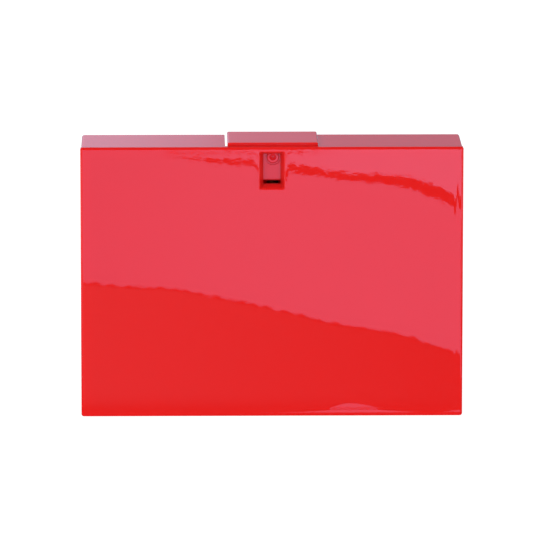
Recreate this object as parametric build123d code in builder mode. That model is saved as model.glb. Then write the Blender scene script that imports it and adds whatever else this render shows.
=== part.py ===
from build123d import *

# Flat cassette-shaped perfume atomiser: a glossy case of two shells round a glass flacon, whose crimped
# spray pump is worked by a wide push button in a notch of the top. Millimetres, +Z up, the nozzle window
# looks along -Y. The origin is the middle of the footprint, on the surface that the case stands on.

import os
from math import sqrt

# Case
case_width = 114.0
case_depth = 24.0
case_height = 81.6
wall = 1.8
edge_radius = 0.7
corner_radius = 0.75
rear_inset = 0.25

# Joint between the two shells
panel_depth = 2.6
lip_wall = 1.0
lip_reach = 2.0
lip_clearance = 0.1
bead_height = 0.35
bead_width = 0.7
bead_length = 20.0
bead_spacing = 60.0
bead_setback = 0.8
groove_clearance = 0.1
pin_radius = 1.0
pin_reach = 7.2
pin_drop = 8.5
boss_radius = 2.4
pin_clearance = 0.05

# Nozzle window in the front panel
window_width = 7.4
window_height = 11.0
window_drop = 1.5
window_corner = 0.4
window_rim = 0.45
throat_width = 5.1
throat_height = 8.95
throat_drop = 2.4
throat_corner = 0.35
funnel_depth = 2.8
funnel_wall = 1.0

# Push button
stroke = 3.2
notch_width = 27.8
button_width = 27.0
button_proud = 0.9
button_setback = 3.0
button_back_gap = 0.1
button_skin = 1.2
button_skirt = 4.2
button_radius = 0.5
cheek_drop = 2.7
tongue_gap = 0.2
tongue_lap = 0.9
core_width = 0.7
travel_clearance = 0.3
peg_radius = 1.25
peg_length = 1.8
peg_clearance = 0.05
peg_spacing = 17.0
peg_y = 3.5

# Spray head, under the button
nozzle_drop = 3.45
plate_width = 9.2
plate_thickness = 1.2
plate_clearance = 0.2
plate_drop = 10.5
plate_edge = 0.6
flange_thickness = 1.2
socket_depth = 5.0
socket_rise = 2.05
boss_wall = 2.3
feed_boss_radius = 3.1
feed_radius = 0.45
feed_offset = 1.2
gusset_height = 3.0
insert_radius = 1.8
insert_length = 3.5
insert_setback = 0.15
insert_clearance = 0.05
insert_wall = 0.45
insert_bore_radius = 1.2
orifice_radius = 0.15
eye_radius = 0.9
eye_depth = 0.35
ring_radius = 2.35
ring_depth = 0.5
post_clearance = 0.1

# Pump
running_fit = 0.05
stem_radius = 1.7
stem_bore = 0.7
collar_radius = 2.5
collar_thickness = 0.6
pilot_radius = 1.5
ferrule_wall = 0.5
ferrule_gap = 0.1
ferrule_hole = 4.8
ferrule_edge = 0.4
crimp_height = 0.7
crimp_gap = 0.4
turret_flange = 0.8
turret_skirt = 2.4
housing_flange = 1.2
housing_wall = 1.1
pump_bore = 3.2
gasket_thickness = 1.0
gasket_lap = 0.5
seal_thickness = 0.9
seal_radius = 2.6
piston_height = 1.9
spring_wire = 0.5
spring_turns = 4.5
spring_spare = 0.45
spring_radius = 2.45
nib_height = 0.5
nib_reach = 0.5
ball_radius = 1.25
ball_lift = 0.6
ball_room = 0.3
seat_gap = 0.02
inlet_radius = 0.7
inlet_length = 1.55
tube_radius = 1.45
tube_bore = 0.75
tube_socket = 4.5
tube_foot = 1.0
tail_wall = 1.1

# Flacon and its cushions
pad_thickness = 1.0
base_rib = 1.2
side_rib = 1.2
side_slack = 0.35
glass_wall = 2.0
flacon_corner = 3.0
flacon_edge = 1.2
neck_height = 5.5
bead_radius = 7.5
neck_bead = 2.6
neck_waist = 6.3
neck_bore = 4.9
fill_height = 44.0
liquid_gap = 0.05
pump_shift = 0.3
rib_thickness = 1.2
ribs_per_side = 3
guide_wall = 1.5
face_pad_length = 30.0
face_pad_height = 26.0
face_pad_spacing = 60.0
base_pad_length = 30.0
base_pad_depth = 12.0
base_pad_spacing = 76.0
side_pad_height = 30.0
shoulder_pad_margin = 4.0

# Heights and depths that follow from the sizes above
front_y = -case_depth / 2
back_y = case_depth / 2
parting_y = front_y + panel_depth
front_inner_y = front_y + wall
back_inner_y = back_y - wall
inner_half = case_width / 2 - wall
rear_half = case_width / 2 - rear_inset
ceiling_z = case_height - wall
lip_half = inner_half - lip_clearance
lip_back_y = parting_y + lip_reach
notch_half = notch_width / 2
guide_half = notch_half + guide_wall
mid_z = case_height / 2

button_top = case_height + button_proud
button_under = button_top - button_skin
button_front_y = front_y + button_setback
button_back_y = back_y - button_back_gap
button_half = button_width / 2
skirt_bottom = button_top - button_skirt
cheek_bottom = skirt_bottom - cheek_drop
notch_floor = skirt_bottom - stroke - 2 * travel_clearance
tongue_back_y = back_inner_y - tongue_gap
tongue_front_y = tongue_back_y - button_skin
tongue_bottom = notch_floor - tongue_lap

nozzle_z = case_height - nozzle_drop
stem_top = nozzle_z - socket_rise
head_bottom = stem_top - socket_depth
flange_bottom = button_under - flange_thickness
ferrule_top = head_bottom - stroke - travel_clearance
turret_top = ferrule_top - ferrule_wall
turret_seat = turret_top - turret_flange
neck_top = turret_seat - housing_flange - gasket_thickness
shoulder_z = neck_top - neck_height

turret_bottom = turret_seat - turret_skirt
piston_top = turret_bottom - travel_clearance
collar_top = piston_top - piston_height - running_fit
spring_top = collar_top - collar_thickness
spring_length = stroke + spring_turns * spring_wire + spring_spare
spring_seat = spring_top - spring_length
pilot_bottom = spring_top - spring_length + stroke + travel_clearance
ball_z = spring_seat - nib_height - ball_lift - ball_radius
cage_radius = ball_radius + ball_room
inlet_top = ball_z + inlet_radius - sqrt(2) * (ball_radius + seat_gap)
cone_top = inlet_top + cage_radius - inlet_radius
inlet_bottom = inlet_top - inlet_length
tail_bottom = inlet_bottom - tube_socket
tail_radius = tube_radius + running_fit + tail_wall
housing_radius = pump_bore + housing_wall

flacon_bottom = wall + base_rib + pad_thickness
flacon_half = inner_half - side_rib - pad_thickness - side_slack
flacon_half_depth = back_inner_y - pad_thickness
glass_floor = flacon_bottom + glass_wall
glass_ceiling = shoulder_z - glass_wall
rib_bottom = shoulder_z + pad_thickness

# The flacon leans on its right-hand cushion, so the pump and the button stand a little right of the middle.
pump_plane = Plane(origin=(pump_shift, 0, 0), x_dir=(1, 0, 0), z_dir=(0, -1, 0))
pump_axis = Axis((pump_shift, 0, 0), (0, 0, 1))


def block(low, high, mode=Mode.ADD):
    """Add or cut the box between two opposite corners in the part that is being built."""
    size = [far - near for near, far in zip(low, high)]
    middle = [(near + far) / 2 for near, far in zip(low, high)]
    with Locations(tuple(middle)):
        Box(*size, mode=mode)


def outline(points):
    """Return the face inside (radius, height) points, in the pump's upright plane."""
    with BuildSketch(pump_plane) as profile:
        with BuildLine():
            Polyline(*points, close=True)
        make_face()
    return profile.sketch


def nozzle_plane(y):
    """Return the upright plane at one depth, centred on the nozzle and facing the front."""
    return Plane(origin=(pump_shift, y, nozzle_z), x_dir=(1, 0, 0), z_dir=(0, -1, 0))


def case_plane(y, z=mid_z):
    """Return the upright plane at one depth, centred on the case's width and facing the front."""
    return Plane(origin=(0, y, z), x_dir=(1, 0, 0), z_dir=(0, -1, 0))


def ribs(side):
    """Return the middles of the shoulder ribs between the button guide and the end wall."""
    pitch = (inner_half - guide_half) / (ribs_per_side + 1)
    return [side * (guide_half + pitch * number) for number in range(1, ribs_per_side + 1)]


pin_places = []
for side in (-1, 1):
    near_rib, *_, far_rib = ribs(side)
    pin_places.append((side * guide_half + near_rib) / 2)
    pin_places.append((side * inner_half + far_rib) / 2)
pin_z = case_height - pin_drop
bead_y = lip_back_y - bead_setback

# Front panel: the whole front face with its rolled edges, the window funnel and the locating lip
funnel_end = front_y + funnel_depth
window_z = case_height - window_drop - window_height / 2
throat_z = case_height - throat_drop - throat_height / 2
with BuildPart() as front_panel:
    block((-case_width / 2, front_y, 0), (case_width / 2, parting_y, case_height))
    fillet(front_panel.edges().filter_by(Axis.Y), corner_radius)
    fillet(front_panel.faces().sort_by(Axis.Y)[0].edges(), edge_radius)
    rim_half = lip_half - lip_wall
    rim_low = wall + lip_clearance + lip_wall
    rim_high = case_height - rim_low
    block((-rim_half, front_inner_y, rim_low), (rim_half, parting_y, rim_high), Mode.SUBTRACT)
    # Locating lip, open where the button and its guides pass
    with BuildSketch(case_plane(parting_y)):
        Rectangle(2 * lip_half, case_height - 2 * (wall + lip_clearance))
        Rectangle(2 * rim_half, rim_high - rim_low, mode=Mode.SUBTRACT)
    extrude(amount=-lip_reach)
    gate = guide_half + lip_clearance
    block((-gate, parting_y, mid_z), (gate, lip_back_y, case_height), Mode.SUBTRACT)
    # Snap beads along the bottom and the two ends of the lip
    bead_low = bead_y - bead_width / 2
    bead_high = bead_y + bead_width / 2
    for side in (-1, 1):
        middle = side * bead_spacing / 2
        block(
            (middle - bead_length / 2, bead_low, wall + lip_clearance - bead_height),
            (middle + bead_length / 2, bead_high, rim_low),
        )
        ends = sorted((side * (lip_half - lip_wall), side * (lip_half + bead_height)))
        block((ends[0], bead_low, mid_z - bead_length / 2), (ends[1], bead_high, mid_z + bead_length / 2))
    # Funnel round the nozzle window
    with BuildSketch(case_plane(front_inner_y, throat_z)):
        RectangleRounded(throat_width + 2 * funnel_wall, throat_height + 2 * funnel_wall, window_corner)
    extrude(amount=-(funnel_end - front_inner_y))
    block((-notch_half, front_inner_y, rim_high), (notch_half, parting_y, case_height - wall))
    with BuildSketch(case_plane(front_y, window_z)):
        RectangleRounded(window_width, window_height, window_corner)
    with BuildSketch(case_plane(funnel_end, throat_z)):
        RectangleRounded(throat_width, throat_height, throat_corner)
    loft(mode=Mode.SUBTRACT)
    rim_edges = front_panel.edges().filter_by_position(Axis.Y, front_y - 0.01, front_y + 0.01)
    fillet([edge for edge in rim_edges if abs(edge.center().X) < window_width], window_rim)
    # Pins that drop into the rear shell's bosses
    with BuildSketch(case_plane(front_inner_y)):
        with Locations(*[(x, pin_z - mid_z) for x in pin_places]):
            Circle(pin_radius)
    extrude(amount=-pin_reach)
front_panel.part.label = "front_panel"

# Rear shell: a deep tray with the button's notch in its top and back walls
with BuildPart() as rear_shell:
    block((-rear_half, parting_y, 0), (rear_half, back_y, case_height))
    fillet(rear_shell.edges().filter_by(Axis.Y), corner_radius)
    fillet(rear_shell.faces().sort_by(Axis.Y)[-1].edges(), edge_radius)
    block((-inner_half, parting_y, wall), (inner_half, back_inner_y, ceiling_z), Mode.SUBTRACT)
    # Grooves for the snap beads
    groove_low = bead_y - bead_width / 2 - groove_clearance
    groove_high = bead_y + bead_width / 2 + groove_clearance
    groove_depth = bead_height - lip_clearance + groove_clearance
    groove_half = bead_length / 2 + groove_clearance
    for side in (-1, 1):
        middle = side * bead_spacing / 2
        block(
            (middle - groove_half, groove_low, wall - groove_depth),
            (middle + groove_half, groove_high, wall),
            Mode.SUBTRACT,
        )
        ends = sorted((side * inner_half, side * (inner_half + groove_depth)))
        block(
            (ends[0], groove_low, mid_z - groove_half),
            (ends[1], groove_high, mid_z + groove_half),
            Mode.SUBTRACT,
        )
    for side in (-1, 1):
        # Button guide, closed against the inside of the front panel
        inner, outer = sorted((side * notch_half, side * guide_half))
        block((inner, parting_y, rib_bottom), (outer, back_inner_y, ceiling_z))
        block(
            (inner, front_inner_y + lip_clearance, rib_bottom),
            (outer, parting_y, rim_high - lip_clearance),
        )
        # Ribs that hold the flacon's shoulder down
        for x in ribs(side):
            block(
                (x - rib_thickness / 2, lip_back_y + lip_clearance, rib_bottom),
                (x + rib_thickness / 2, back_inner_y, ceiling_z),
            )
        # Rests for the base and side cushions
        middle = side * base_pad_spacing / 2
        block(
            (middle - base_pad_length / 2, -base_pad_depth / 2, wall),
            (middle + base_pad_length / 2, base_pad_depth / 2, wall + base_rib),
        )
        ends = sorted((side * inner_half, side * (inner_half - side_rib)))
        block(
            (ends[0], -base_pad_depth / 2, mid_z - side_pad_height),
            (ends[1], base_pad_depth / 2, mid_z),
        )
    # Bosses for the front panel's pins
    with BuildSketch(case_plane(back_inner_y)):
        with Locations(*[(x, pin_z - mid_z) for x in pin_places]):
            Circle(boss_radius)
    extrude(amount=back_inner_y - lip_back_y - travel_clearance)
    with BuildSketch(case_plane(lip_back_y)):
        with Locations(*[(x, pin_z - mid_z) for x in pin_places]):
            Circle(pin_radius + pin_clearance)
    extrude(amount=-(pin_reach - wall), mode=Mode.SUBTRACT)
    # Notch for the button
    block((-notch_half, parting_y, ceiling_z), (notch_half, back_y, case_height), Mode.SUBTRACT)
    block((-notch_half, back_inner_y, notch_floor), (notch_half, back_y, case_height), Mode.SUBTRACT)
rear_shell.part.label = "rear_shell"

# Button cap: a shallow lid with side cheeks and a light-tight tongue behind the back wall
button_left = pump_shift - button_half
button_right = pump_shift + button_half
core_left = button_left + button_skin
core_right = button_right - button_skin
with BuildPart() as button_cap:
    block((button_left, button_front_y, skirt_bottom), (button_right, button_back_y, button_top))
    fillet(button_cap.edges().filter_by(Axis.Z), button_radius)
    fillet(button_cap.faces().sort_by(Axis.Z)[-1].edges(), button_radius - running_fit)
    core_front_y = button_front_y + plate_thickness
    core_back_y = button_back_y - button_skin
    block((core_left, core_front_y, skirt_bottom), (core_right, tongue_front_y, button_under), Mode.SUBTRACT)
    core_split_y = core_back_y - core_width
    block((core_left, core_split_y, skirt_bottom), (core_right, core_back_y, button_under), Mode.SUBTRACT)
    block((button_left, tongue_front_y, tongue_bottom), (button_right, tongue_back_y, skirt_bottom))
    for near, far in ((button_left, core_left), (core_right, button_right)):
        block((near, button_front_y + button_radius, cheek_bottom), (far, tongue_front_y, skirt_bottom))
    # Gap in the front skirt for the nozzle plate
    gap_half = plate_width / 2 + plate_clearance
    block(
        (pump_shift - gap_half, button_front_y, skirt_bottom),
        (pump_shift + gap_half, core_front_y, button_under),
        Mode.SUBTRACT,
    )
    # Pegs for the spray head
    with BuildSketch(Plane.XY.offset(button_under)):
        with Locations((pump_shift, peg_y)):
            with GridLocations(peg_spacing, 0, 2, 1):
                Circle(peg_radius)
    extrude(amount=-peg_length)
button_cap.part.label = "button_cap"

# Spray head: nozzle plate, flange and stem socket in one moulding
bore_end_y = button_front_y + insert_setback + insert_length + post_clearance
with BuildPart() as spray_head:
    plate_bottom = case_height - plate_drop
    block(
        (pump_shift - plate_width / 2, button_front_y, plate_bottom),
        (pump_shift + plate_width / 2, button_front_y + plate_thickness, button_under),
    )
    fillet(spray_head.faces().sort_by(Axis.Z)[0].edges().filter_by(Axis.X).sort_by(Axis.Y)[0], plate_edge)
    block(
        (core_left + plate_clearance, button_front_y + plate_thickness, flange_bottom),
        (core_right - plate_clearance, tongue_front_y - plate_clearance, button_under),
    )
    block(
        (core_left + plate_clearance, -plate_thickness / 2, flange_bottom - gusset_height),
        (core_right - plate_clearance, plate_thickness / 2, flange_bottom),
    )
    with BuildSketch(Plane.XY.offset(head_bottom)):
        with Locations((pump_shift, 0)):
            Circle(stem_radius + boss_wall)
    extrude(amount=flange_bottom - head_bottom)
    with BuildSketch(nozzle_plane(button_front_y + plate_thickness / 2)):
        Circle(feed_boss_radius)
    extrude(amount=button_front_y + plate_thickness / 2)
    # Stem socket and the passage to the nozzle
    socket_top = stem_top + running_fit
    with BuildSketch(Plane.XY.offset(head_bottom)):
        with Locations((pump_shift, 0)):
            Circle(stem_radius + running_fit)
    extrude(amount=socket_top - head_bottom, mode=Mode.SUBTRACT)
    with BuildSketch(Plane.XY.offset(socket_top)):
        with Locations((pump_shift, 0)):
            Circle(stem_bore)
    extrude(amount=nozzle_z + feed_offset + feed_radius - socket_top, mode=Mode.SUBTRACT)
    with BuildSketch(nozzle_plane(0)):
        with Locations((0, feed_offset)):
            Circle(feed_radius)
    extrude(amount=-bore_end_y, mode=Mode.SUBTRACT)
    # Ring groove and bore for the nozzle insert, round the post that it seats on
    with BuildSketch(nozzle_plane(button_front_y)):
        Circle(ring_radius)
    extrude(amount=-ring_depth, mode=Mode.SUBTRACT)
    with BuildSketch(nozzle_plane(bore_end_y)):
        Circle(insert_radius + insert_clearance)
    extrude(amount=bore_end_y - button_front_y, mode=Mode.SUBTRACT)
    insert_floor_y = button_front_y + insert_setback + eye_depth + insert_wall
    with BuildSketch(nozzle_plane(bore_end_y)):
        Circle(insert_bore_radius - post_clearance)
    extrude(amount=bore_end_y - insert_floor_y - post_clearance)
    with BuildSketch(Plane.XY.offset(flange_bottom)):
        with Locations((pump_shift, peg_y)):
            with GridLocations(peg_spacing, 0, 2, 1):
                Circle(peg_radius + peg_clearance)
    extrude(amount=flange_thickness, mode=Mode.SUBTRACT)
spray_head.part.label = "spray_head"

# Nozzle insert: a small cup with the spray orifice in its floor
with BuildPart() as nozzle_insert:
    insert_front_y = button_front_y + insert_setback
    with BuildSketch(nozzle_plane(insert_front_y)):
        Circle(insert_radius)
    extrude(amount=-insert_length)
    chamfer(nozzle_insert.faces().sort_by(Axis.Y)[0].edges(), insert_clearance)
    with BuildSketch(nozzle_plane(insert_front_y)):
        Circle(eye_radius)
    extrude(amount=-eye_depth, mode=Mode.SUBTRACT)
    with BuildSketch(nozzle_plane(insert_front_y)):
        Circle(orifice_radius)
    extrude(amount=-insert_length, mode=Mode.SUBTRACT)
    with BuildSketch(nozzle_plane(insert_floor_y)):
        Circle(insert_bore_radius)
    extrude(amount=-(insert_length - eye_depth - insert_wall), mode=Mode.SUBTRACT)
nozzle_insert.part.label = "nozzle_insert"

# Ferrule: crimped aluminium collar that holds the pump on the flacon's neck
shell_inner = bead_radius + ferrule_gap
shell_outer = shell_inner + ferrule_wall
crimp_top = neck_top - neck_bead - ferrule_gap
crimp_bottom = crimp_top - crimp_height
crimp_inner = neck_waist + crimp_gap
with BuildPart() as ferrule:
    revolve(
        outline(
            [
                (ferrule_hole, turret_top),
                (shell_inner, turret_top),
                (shell_inner, crimp_top),
                (crimp_inner, crimp_top),
                (crimp_inner, crimp_bottom),
                (shell_outer - ferrule_wall / 2, crimp_bottom),
                (shell_outer, crimp_top),
                (shell_outer, ferrule_top),
                (ferrule_hole, ferrule_top),
            ]
        ),
        axis=pump_axis,
    )
    top_circles = ferrule.edges().filter_by(GeomType.CIRCLE).group_by(Axis.Z)[-1]
    fillet(top_circles.sort_by(SortBy.RADIUS)[-1], ferrule_edge)
ferrule.part.label = "ferrule"

# Turret: closes the pump housing and guides the stem
stem_hole = stem_radius + running_fit
flange_radius = bead_radius - gasket_lap
with BuildPart() as turret:
    revolve(
        outline(
            [
                (stem_hole, ferrule_top),
                (ferrule_hole - ferrule_gap, ferrule_top),
                (ferrule_hole - ferrule_gap, turret_top),
                (flange_radius, turret_top),
                (flange_radius, turret_seat),
                (pump_bore - running_fit, turret_seat),
                (pump_bore - running_fit, turret_bottom),
                (seal_radius, turret_bottom),
                (seal_radius, turret_bottom + seal_thickness),
                (stem_hole, turret_bottom + seal_thickness),
            ]
        ),
        axis=pump_axis,
    )
turret.part.label = "turret"

# Stem seal: soft ring under the turret, round the stem
with BuildPart() as stem_seal:
    revolve(
        outline(
            [
                (stem_hole, turret_bottom + running_fit),
                (seal_radius - running_fit, turret_bottom + running_fit),
                (seal_radius - running_fit, turret_bottom + seal_thickness),
                (stem_hole, turret_bottom + seal_thickness),
            ]
        ),
        axis=pump_axis,
    )
stem_seal.part.label = "stem_seal"

# Neck gasket: between the pump housing's flange and the glass
with BuildPart() as neck_gasket:
    revolve(
        outline(
            [
                (housing_radius + ferrule_gap, neck_top),
                (flange_radius, neck_top),
                (flange_radius, neck_top + gasket_thickness),
                (housing_radius + ferrule_gap, neck_top + gasket_thickness),
            ]
        ),
        axis=pump_axis,
    )
neck_gasket.part.label = "neck_gasket"

# Pump housing: cylinder, spring seat, ball cage and the socket of the dip tube
with BuildPart() as pump_housing:
    revolve(
        outline(
            [
                (pump_bore, turret_seat),
                (flange_radius, turret_seat),
                (flange_radius, turret_seat - housing_flange),
                (housing_radius, turret_seat - housing_flange),
                (housing_radius, cone_top),
                (tail_radius, inlet_bottom),
                (tail_radius, tail_bottom),
                (tube_radius + running_fit, tail_bottom),
                (tube_radius + running_fit, inlet_bottom),
                (inlet_radius, inlet_bottom),
                (inlet_radius, inlet_top),
                (cage_radius, cone_top),
                (cage_radius, spring_seat),
                (pump_bore, spring_seat),
            ]
        ),
        axis=pump_axis,
    )
    # Nibs over the inlet ball
    with BuildSketch(Plane.XY.offset(spring_seat - nib_height)):
        with Locations((pump_shift, 0)):
            with PolarLocations(cage_radius, 3):
                Rectangle(2 * nib_reach, nib_reach)
    extrude(amount=nib_height)
pump_housing.part.label = "pump_housing"

# Inlet ball: check valve at the foot of the pump
with BuildPart() as inlet_ball:
    with Locations((pump_shift, 0, ball_z)):
        Sphere(ball_radius)
inlet_ball.part.label = "inlet_ball"

# Return spring: one coil between the housing's seat and the stem's collar
with BuildPart() as return_spring:
    coil_height = spring_length - spring_wire
    with BuildLine() as coil:
        Helix(
            coil_height / spring_turns,
            coil_height,
            spring_radius,
            center=(pump_shift, 0, spring_seat + spring_wire / 2),
        )
    with BuildSketch(Plane(origin=coil.line @ 0, z_dir=coil.line % 0)):
        Circle(spring_wire / 2)
    sweep(path=coil.line, is_frenet=True)
return_spring.part.label = "return_spring"

# Pump stem: hollow rod with a collar for the spring and a pilot inside it
with BuildPart() as pump_stem:
    revolve(
        outline(
            [
                (0, pilot_bottom),
                (pilot_radius, pilot_bottom),
                (pilot_radius, spring_top),
                (collar_radius, spring_top),
                (collar_radius, collar_top),
                (stem_radius, collar_top),
                (stem_radius, stem_top),
                (stem_bore, stem_top),
                (stem_bore, collar_top),
                (0, collar_top),
            ]
        ),
        axis=pump_axis,
    )
    # Cross port, covered by the piston at rest
    port_z = collar_top + piston_height / 2
    with BuildSketch(Plane(origin=(pump_shift, -stem_radius, port_z), z_dir=(0, -1, 0))):
        Circle(stem_bore / 2)
    extrude(amount=-2 * stem_radius, mode=Mode.SUBTRACT)
pump_stem.part.label = "pump_stem"

# Piston: sliding seal on the stem
with BuildPart() as piston:
    sleeve = (stem_hole + pump_bore) / 2
    revolve(
        outline(
            [
                (stem_hole, piston_top),
                (sleeve, piston_top),
                (pump_bore - running_fit, piston_top - piston_height / 4),
                (pump_bore - running_fit, piston_top - piston_height),
                (stem_hole, piston_top - piston_height),
            ]
        ),
        axis=pump_axis,
    )
piston.part.label = "piston"

# Dip tube: from the pump housing down to the glass floor
tube_top = inlet_bottom - travel_clearance
with BuildPart() as dip_tube:
    revolve(
        outline(
            [
                (tube_bore, glass_floor + tube_foot),
                (tube_radius, glass_floor + tube_foot),
                (tube_radius, tube_top),
                (tube_bore, tube_top),
            ]
        ),
        axis=pump_axis,
    )
dip_tube.part.label = "dip_tube"

# Flacon: glass block with a hollow inside and a crimp neck
inner_flacon_half = flacon_half - glass_wall
inner_flacon_depth = flacon_half_depth - glass_wall
with BuildPart() as flacon:
    block(
        (pump_shift - flacon_half, -flacon_half_depth, flacon_bottom),
        (pump_shift + flacon_half, flacon_half_depth, shoulder_z),
    )
    fillet(flacon.edges().filter_by(Axis.Z), flacon_corner)
    fillet(flacon.edges().filter_by(Axis.Z, reverse=True), flacon_edge)
    revolve(
        outline(
            [
                (0, shoulder_z - glass_wall),
                (neck_waist, shoulder_z - glass_wall),
                (neck_waist, neck_top - neck_bead),
                (bead_radius, neck_top - neck_bead),
                (bead_radius, neck_top),
                (0, neck_top),
            ]
        ),
        axis=pump_axis,
    )
    with BuildSketch(Plane.XY.offset(glass_floor)):
        with Locations((pump_shift, 0)):
            RectangleRounded(2 * inner_flacon_half, 2 * inner_flacon_depth, flacon_corner - glass_wall)
    extrude(amount=glass_ceiling - glass_floor, mode=Mode.SUBTRACT)
    with BuildSketch(Plane.XY.offset(glass_ceiling)):
        with Locations((pump_shift, 0)):
            Circle(neck_bore)
    extrude(amount=neck_top - glass_ceiling, mode=Mode.SUBTRACT)
flacon.part.label = "flacon"

# Fragrance: the liquid in the flacon, round the dip tube and the pump's tail
with BuildPart() as fragrance:
    with BuildSketch(Plane.XY.offset(glass_floor + liquid_gap)):
        with Locations((pump_shift, 0)):
            RectangleRounded(
                2 * (inner_flacon_half - liquid_gap),
                2 * (inner_flacon_depth - liquid_gap),
                flacon_corner - glass_wall,
            )
            Circle(tube_radius + liquid_gap, mode=Mode.SUBTRACT)
    extrude(amount=fill_height)
    with BuildSketch(Plane.XY.offset(tail_bottom - liquid_gap)):
        with Locations((pump_shift, 0)):
            Circle(housing_radius + liquid_gap)
    extrude(amount=fill_height, mode=Mode.SUBTRACT)
fragrance.part.label = "fragrance"

# Face cushions: four equal foam pads in front of and behind the flacon
with BuildPart() as face_pads:
    pad_z = flacon_bottom + (shoulder_z - flacon_bottom) / 2
    for pad_y in (front_inner_y, flacon_half_depth):
        for side in (-1, 1):
            middle = side * face_pad_spacing / 2
            block(
                (middle - face_pad_length / 2, pad_y, pad_z - face_pad_height / 2),
                (middle + face_pad_length / 2, pad_y + pad_thickness, pad_z + face_pad_height / 2),
            )
face_pads.part.label = "face_pads"

# Base cushions: two pads under the flacon
with BuildPart() as base_pads:
    for side in (-1, 1):
        middle = side * base_pad_spacing / 2
        block(
            (middle - base_pad_length / 2, -base_pad_depth / 2, wall + base_rib),
            (middle + base_pad_length / 2, base_pad_depth / 2, flacon_bottom),
        )
base_pads.part.label = "base_pads"

# Side cushions: one pad at each end of the flacon
with BuildPart() as side_pads:
    for side in (-1, 1):
        ends = sorted((side * (inner_half - side_rib), side * (inner_half - side_rib - pad_thickness)))
        block(
            (ends[0], -base_pad_depth / 2, mid_z - side_pad_height),
            (ends[1], base_pad_depth / 2, mid_z),
        )
side_pads.part.label = "side_pads"

# Shoulder cushions: one pad under each group of ribs
with BuildPart() as shoulder_pads:
    for side in (-1, 1):
        near_rib, *_, far_rib = ribs(side)
        ends = sorted((near_rib - side * shoulder_pad_margin, far_rib + side * shoulder_pad_margin))
        block(
            (ends[0], -base_pad_depth / 2, shoulder_z),
            (ends[1], base_pad_depth / 2, rib_bottom),
        )
shoulder_pads.part.label = "shoulder_pads"

pieces = [
    front_panel,
    rear_shell,
    button_cap,
    spray_head,
    nozzle_insert,
    ferrule,
    turret,
    stem_seal,
    neck_gasket,
    pump_housing,
    inlet_ball,
    return_spring,
    pump_stem,
    piston,
    dip_tube,
    flacon,
    fragrance,
    face_pads,
    base_pads,
    side_pads,
    shoulder_pads,
]
os.makedirs("parts", exist_ok=True)
for piece in pieces:
    export_step(piece.part, f"parts/{piece.part.label}.step")
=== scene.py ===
"""Looks of a flat, cassette-shaped perfume atomiser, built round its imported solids.

The case, the button, the pump and the flacon keep the solids of the frame and get their finishes here.
The felt cushions, the return spring and the nozzle insert are modelled here, in the places that their
solids hold. Everything is in metres, in the frame's own axes.
"""

import logging
import math
from dataclasses import dataclass, field, replace
from enum import Enum
from typing import Callable, Sequence

import bmesh
import bpy
from mathutils import Euler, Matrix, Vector, noise


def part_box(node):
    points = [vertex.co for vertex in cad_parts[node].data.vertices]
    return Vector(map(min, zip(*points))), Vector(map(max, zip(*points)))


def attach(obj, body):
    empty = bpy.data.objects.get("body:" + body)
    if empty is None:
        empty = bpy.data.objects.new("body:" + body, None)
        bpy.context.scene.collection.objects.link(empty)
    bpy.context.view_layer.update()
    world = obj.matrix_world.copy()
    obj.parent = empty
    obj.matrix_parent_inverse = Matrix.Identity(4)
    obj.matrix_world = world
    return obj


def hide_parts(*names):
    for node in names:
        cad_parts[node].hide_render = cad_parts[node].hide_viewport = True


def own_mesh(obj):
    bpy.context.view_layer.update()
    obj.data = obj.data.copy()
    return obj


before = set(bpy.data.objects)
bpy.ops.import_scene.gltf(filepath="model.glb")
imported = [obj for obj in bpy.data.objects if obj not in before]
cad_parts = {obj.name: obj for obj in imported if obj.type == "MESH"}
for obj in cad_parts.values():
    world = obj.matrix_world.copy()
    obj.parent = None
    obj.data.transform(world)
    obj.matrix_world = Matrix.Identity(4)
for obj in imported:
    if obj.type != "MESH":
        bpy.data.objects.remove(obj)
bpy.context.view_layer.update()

MM = 0.001
log = logging.getLogger("atomiser")

Colour = tuple[float, float, float, float]
Point = tuple[float, float, float]


def rgb(red: float, green: float, blue: float) -> Colour:
    """Return an opaque linear colour from its three levels."""
    return (red, green, blue, 1.0)


WHITE = rgb(1.0, 1.0, 1.0)


# ---------------------------------------------------------------------------------------------------------
# Shader node helpers and the node groups that several finishes share
# ---------------------------------------------------------------------------------------------------------


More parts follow.
